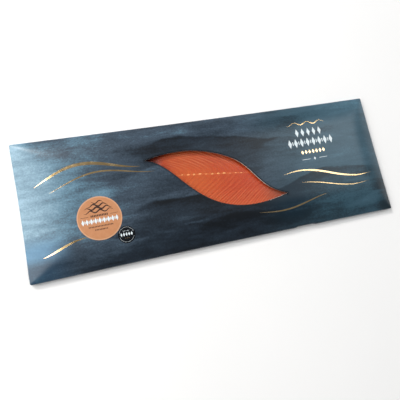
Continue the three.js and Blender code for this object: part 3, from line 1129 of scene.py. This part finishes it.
def label(name, centre, radius, look, rings=14, sectors=96):
    """A round label stuck to the lid, its cut edge slightly rounded."""
    piece = Piece()

    def ring_points(reach, lift):
        plan = ellipse_plan(centre.x, centre.y, reach, reach, sectors)
        return [piece.point((x, y, lid_surface(x, y) + lift)) for x, y in plan]

    def disc(lift):
        """A face of the label. Returns its outermost ring of points."""
        middle = piece.point((centre.x, centre.y, lid_surface(centre.x, centre.y) + lift))
        widest = radius - LABEL_EDGE_INSET
        loops = [ring_points(widest * ring / rings, lift) for ring in range(1, rings + 1)]
        piece.fan(middle, loops[0])
        piece.chain(loops)
        return loops[-1]

    top = disc(LABEL_THICKNESS)
    edge = ring_points(radius, LABEL_THICKNESS - LABEL_EDGE_DROP)
    foot = ring_points(radius, LABEL_FOOT)
    piece.chain([top, edge, foot, disc(LABEL_FOOT)])
    middle = (centre.x, centre.y, lid_height(centre.x, centre.y))
    return piece.make(name, [look], name.replace("_paper", ""), middle)


def strip(piece, path, half_widths, lift):
    """A thin closed ribbon along a path in plan, lifted off the lid."""
    outer = []
    inner = []
    for i, here in enumerate(path):
        before = Vector(path[max(i - 1, 0)])
        after = Vector(path[min(i + 1, len(path) - 1)])
        along = after - before
        side = Vector((-along.y, along.x)).normalized() * half_widths[i]
        row = [Vector(here) + side * share for share in (-1, 0, 1)]
        heights = [lid_surface(x, y) + lift for x, y in row]
        outer.append([piece.point((x, y, z)) for (x, y), z in zip(row, heights)])
        inner.append([piece.point((x, y, z - INK_THICKNESS)) for (x, y), z in zip(row, heights)])
    piece.slab(outer, inner)


def lozenge(piece, centre, lift, width, height):
    """A diamond that stands across the lid."""
    shares = spread(0, 1, 6)
    path = [(centre[0], centre[1] + height * (share - 0.5)) for share in shares]
    widths = [max(width / 2 * (1 - abs(2 * share - 1)), LEAST_HALF_WIDTH) for share in shares]
    strip(piece, path, widths, lift)


def bar(piece, centre, lift, width, height):
    """An upright stroke with straight sides."""
    path = [(centre[0], centre[1] + height * (share - 0.5)) for share in spread(0, 1, 4)]
    strip(piece, path, [width / 2] * len(path), lift)


def dot(piece, centre, lift, radius):
    turns = spread(0, math.pi, 8)
    path = [(centre[0] - radius * math.cos(turn), centre[1]) for turn in turns]
    strip(piece, path, [max(radius * math.sin(turn), LEAST_HALF_WIDTH) for turn in turns], lift)


def mark_rows(piece, middle, lift, *rows):
    """Rows of equal marks round a design's middle. A row is the mark, how many, pitch, height and sizes."""
    for draw, count, pitch, height, *sizes in rows:
        for index in range(count):
            x = middle.x + pitch * (index - (count - 1) / 2)
            draw(piece, (x, middle.y + height), lift, *sizes)


def line_pair(piece, middle, lift, near, far, height, half_width):
    """Two straight strokes along the lid that taper at their ends, on both sides of a design's middle."""
    shares = spread(0, 1, 12)
    y = middle.y + height
    for side in (-1, 1):
        path = [(lerp(middle.x + side * near, middle.x + side * far, share), y) for share in shares]
        widths = [half_width * min(1.0, 0.2 + 3 * math.sin(math.pi * share)) for share in shares]
        strip(piece, path, widths, lift)


def wave_stroke(piece, span, height, slope, swing, length, start, half_width, lift=INK_LIFT, spacing=1.5):
    """A stroke along a wave, widest in its middle and drawn out to points."""
    path = []
    widths = []
    for share in spread(0, 1, round((span[1] - span[0]) / spacing)):
        x = lerp(span[0], span[1], share)
        y = height + slope * (x - span[0]) + swing * math.sin(2 * math.pi * x / length + start)
        path.append((x, y))
        widths.append(max(half_width * math.sin(math.pi * share) ** 0.8, LEAST_HALF_WIDTH))
    strip(piece, path, widths, lift)


# Foil strokes: span along the lid, height at its start, slope, swing, length of a swing, where in it the
# lid's middle lies, and half width at the widest.
FOIL_WAVES = (
    ((-274.0, -118.0), 36.0, 0.09, 13.0, 210.0, 1.6, 2.5),
    ((-254.0, -98.0), 24.0, 0.08, 10.0, 200.0, 1.2, 1.3),
    ((-276.0, -210.0), -66.0, 0.12, 5.0, 120.0, 0.6, 1.5),
    ((108.0, 272.0), -22.0, -0.02, 11.0, 220.0, 3.9, 1.5),
    ((136.0, 262.0), -40.0, -0.02, 8.0, 200.0, 3.6, 0.8),
    ((52.0, 178.0), -68.0, 0.05, 5.0, 170.0, 1.0, 1.2),
)


def foil_strokes(look):
    piece = Piece()
    for wave in FOIL_WAVES:
        wave_stroke(piece, *wave)
    return piece.make("foil_waves", [look])


def white_ornament(look):
    """Rows of plain white lozenges and bars, and two short lines with a lozenge between them."""
    piece = Piece()
    mark_rows(
        piece, ORNAMENT, INK_LIFT,
        (lozenge, 5, 10.6, 18.0, 6.4, 14.0),
        (lozenge, 8, 11.0, 0.5, 6.8, 15.0),
        (bar, 7, 11.0, 0.5, 1.5, 6.0),
    )
    foot = -29.0
    line_pair(piece, ORNAMENT, INK_LIFT, 8, 24, foot, 0.35)
    lozenge(piece, (ORNAMENT.x, ORNAMENT.y + foot), INK_LIFT, 4.0, 5.0)
    return piece.make("white_ornament", [look])


def gold_ornament(look):
    piece = Piece()
    span = (ORNAMENT.x - 36, ORNAMENT.x + 36)
    wave_stroke(piece, span, ORNAMENT.y + 34.5, 0.0, 2.4, 24.0, 0.0, 0.85, spacing=1.0)
    mark_rows(piece, ORNAMENT, INK_LIFT, (lozenge, 7, 6.6, -16.5, 4.6, 7.0))
    return piece.make("gold_ornament", [look])


# The dark ripples at the top of the orange label: height over its middle, reach to each side, half width.
LABEL_RIPPLES = ((24.0, 9.0, 0.8), (19.5, 15.5, 1.15), (15.0, 20.0, 1.3), (10.5, 22.0, 1.0))


def round_label_marks(dark_look, white_look):
    """Plain marks on the orange label: ripples, white lozenges and bars, and rows of small dark bars."""
    dark = Piece()
    white = Piece()
    x, y = ROUND_LABEL
    for height, reach, half_width in LABEL_RIPPLES:
        span = (x - reach, x + reach)
        wave_stroke(dark, span, y + height, 0.0, 1.7, 14.0, 0.42 * height, half_width, LABEL_LIFT, 0.8)
    line_pair(dark, ROUND_LABEL, LABEL_LIFT, 15, 27, 4.0, 0.25)
    mark_rows(
        dark, ROUND_LABEL, LABEL_LIFT,
        (bar, 11, 2.3, 4.2, 1.5, 2.8),
        (bar, 17, 2.1, -11.6, 1.2, 1.9),
        (bar, 9, 2.1, -16.4, 1.2, 1.9),
    )
    mark_rows(
        white, ROUND_LABEL, LABEL_LIFT,
        (lozenge, 9, 6.1, -3.4, 4.2, 8.8),
        (bar, 8, 6.1, -3.4, 1.1, 4.4),
    )
    dark.make("round_label_ink", [dark_look])
    white.make("round_label_white", [white_look])


def roundel_marks(white_look, gold_look):
    """A thin ring in two arcs, a row of white lozenges, and small dots on the black roundel."""
    white = Piece()
    gold = Piece()
    x, y = ROUNDEL
    ring_radius = 10.8
    ring_half_width = 0.12
    for start, end in ((15, 165), (195, 345)):
        turns = [math.radians(angle) for angle in spread(start, end, 72)]
        path = [(x + ring_radius * math.cos(turn), y + ring_radius * math.sin(turn)) for turn in turns]
        strip(white, path, [ring_half_width] * len(path), LABEL_LIFT)
    mark_rows(white, ROUNDEL, LABEL_LIFT, (lozenge, 5, 3.8, 0.4, 2.9, 5.8), (dot, 5, 2.0, 5.4, 0.5))
    mark_rows(gold, ROUNDEL, LABEL_LIFT, (dot, 3, 2.6, -5.2, 0.65))
    white.make("roundel_white", [white_look])
    gold.make("roundel_gold", [gold_look])


# ---- Floor, light and camera ----

HORIZON = (0.97, 0.98, 1.0, 1.0)
HORIZON_STRENGTH = 0.98
ZENITH_STRENGTH = 0.15
ZENITH_FROM = 0.4
FLOOR_REACH = 2600.0
FLOOR_LEVEL = -0.2
FLOOR_FADE = (660.0, 1500.0)

# Round lamps that face the pack: name, place, width, power and colour.
LAMPS = (
    ("key", (-2240, 320, 2080), 2400, 69.0, (1.0, 0.99, 0.97)),
    ("lamp", (-1440, 2080, 2000), 800, 61.0, (1.0, 0.98, 0.95)),
    ("fill", (1920, 940, 2400), 1440, 20.5, (0.96, 0.98, 1.0)),
)


def floor():
    """A plain pale floor just under the carton, which passes into the horizon's tone far from it."""
    mesh = bpy.data.meshes.new("floor")
    corners = [(x * FLOOR_REACH * MM, y * FLOOR_REACH * MM, FLOOR_LEVEL * MM)
               for x, y in ((-1, -1), (1, -1), (1, 1), (-1, 1))]
    mesh.from_pydata(corners, [], [(0, 1, 2, 3)])
    paint = new_material("floor")
    place = paint.place()
    colour = paint.mix(paint.noise(place, 0.004, 3.0), screen(246, 246, 246), screen(250, 250, 250))
    matt = paint.add("ShaderNodeBsdfPrincipled", {"Base Color": colour, "Roughness": 0.9}).outputs[0]
    glow = paint.add("ShaderNodeEmission", {"Color": HORIZON, "Strength": HORIZON_STRENGTH}).outputs[0]
    far = paint.ease(paint.distance(place, (0.0, 0.0, 0.0)), *FLOOR_FADE)
    faded = paint.add("ShaderNodeMixShader", {0: far, 1: matt, 2: glow}).outputs[0]
    mesh.materials.append(paint.show(faded))
    link("floor", mesh)


def lights():
    for name, place, width, power, colour in LAMPS:
        light = bpy.data.lights.new(name, "AREA")
        light.shape = "DISK"
        light.size = width * MM
        light.energy = power
        light.color = colour
        made = link(name, light)
        made.location = Vector(place) * MM
        made.rotation_euler = (-Vector(place)).to_track_quat("-Z", "Y").to_euler()
    sky = Paint(bpy.data.worlds.new("studio"))
    height = sky.split(sky.add("ShaderNodeTexCoord").outputs["Generated"])[2]
    strengths = {"To Min": HORIZON_STRENGTH, "To Max": ZENITH_STRENGTH}
    limits = {"Value": height, "From Max": ZENITH_FROM, **strengths}
    strength = sky.add("ShaderNodeMapRange", limits).outputs[0]
    glow = sky.add("ShaderNodeBackground", {"Color": HORIZON, "Strength": strength}).outputs[0]
    sky.add("ShaderNodeOutputWorld", {"Surface": glow})
    bpy.context.scene.world = sky.owner


def camera():
    back = (CAMERA_PLACE - CAMERA_TARGET).normalized()
    heading = Vector((math.cos(CAMERA_TURN), math.sin(CAMERA_TURN), 0.0))
    right = (heading - heading.dot(back) * back).normalized()
    up = back.cross(right)
    data = bpy.data.cameras.new("camera")
    data.sensor_width = SENSOR
    data.lens = LENS
    data.clip_start = 10 * MM
    made = link("camera", data)
    turned = Matrix((right, up, back)).transposed().to_4x4()
    made.matrix_world = Matrix.Translation(CAMERA_PLACE * MM) @ turned
    bpy.context.scene.camera = made


# ---- The pack ----

print_look = print_material()
board_look = board_material()
flesh_look = salmon_material()
white_look = ink_material("white_print", screen(226, 236, 240), screen(206, 220, 228))
brown_look = ink_material("brown_ink", screen(46, 22, 12), screen(66, 34, 18))
gold_look = foil_material()
orange = (screen(196, 138, 98), screen(184, 122, 80), screen(208, 158, 122))
orange_look = label_material("label_paper", ROUND_LABEL_RADIUS, 0.4, *orange)
black = (screen(14, 17, 22), screen(18, 22, 28), screen(10, 12, 17))
black_look = label_material("roundel_paper", ROUNDEL_RADIUS, 0.15, *black)

carton(print_look, board_look)
end_flaps(print_look)
fillet(flesh_look)
pin_bones(flesh_look)
film(film_material())
label("round_label_paper", ROUND_LABEL, ROUND_LABEL_RADIUS, orange_look)
label("small_roundel_paper", ROUNDEL, ROUNDEL_RADIUS, black_look)
round_label_marks(brown_look, white_look)
roundel_marks(white_look, gold_look)
foil_strokes(gold_look)
white_ornament(white_look)
gold_ornament(gold_look)
floor()
lights()
camera()

scene = bpy.context.scene
scene.view_settings.view_transform = "Standard"
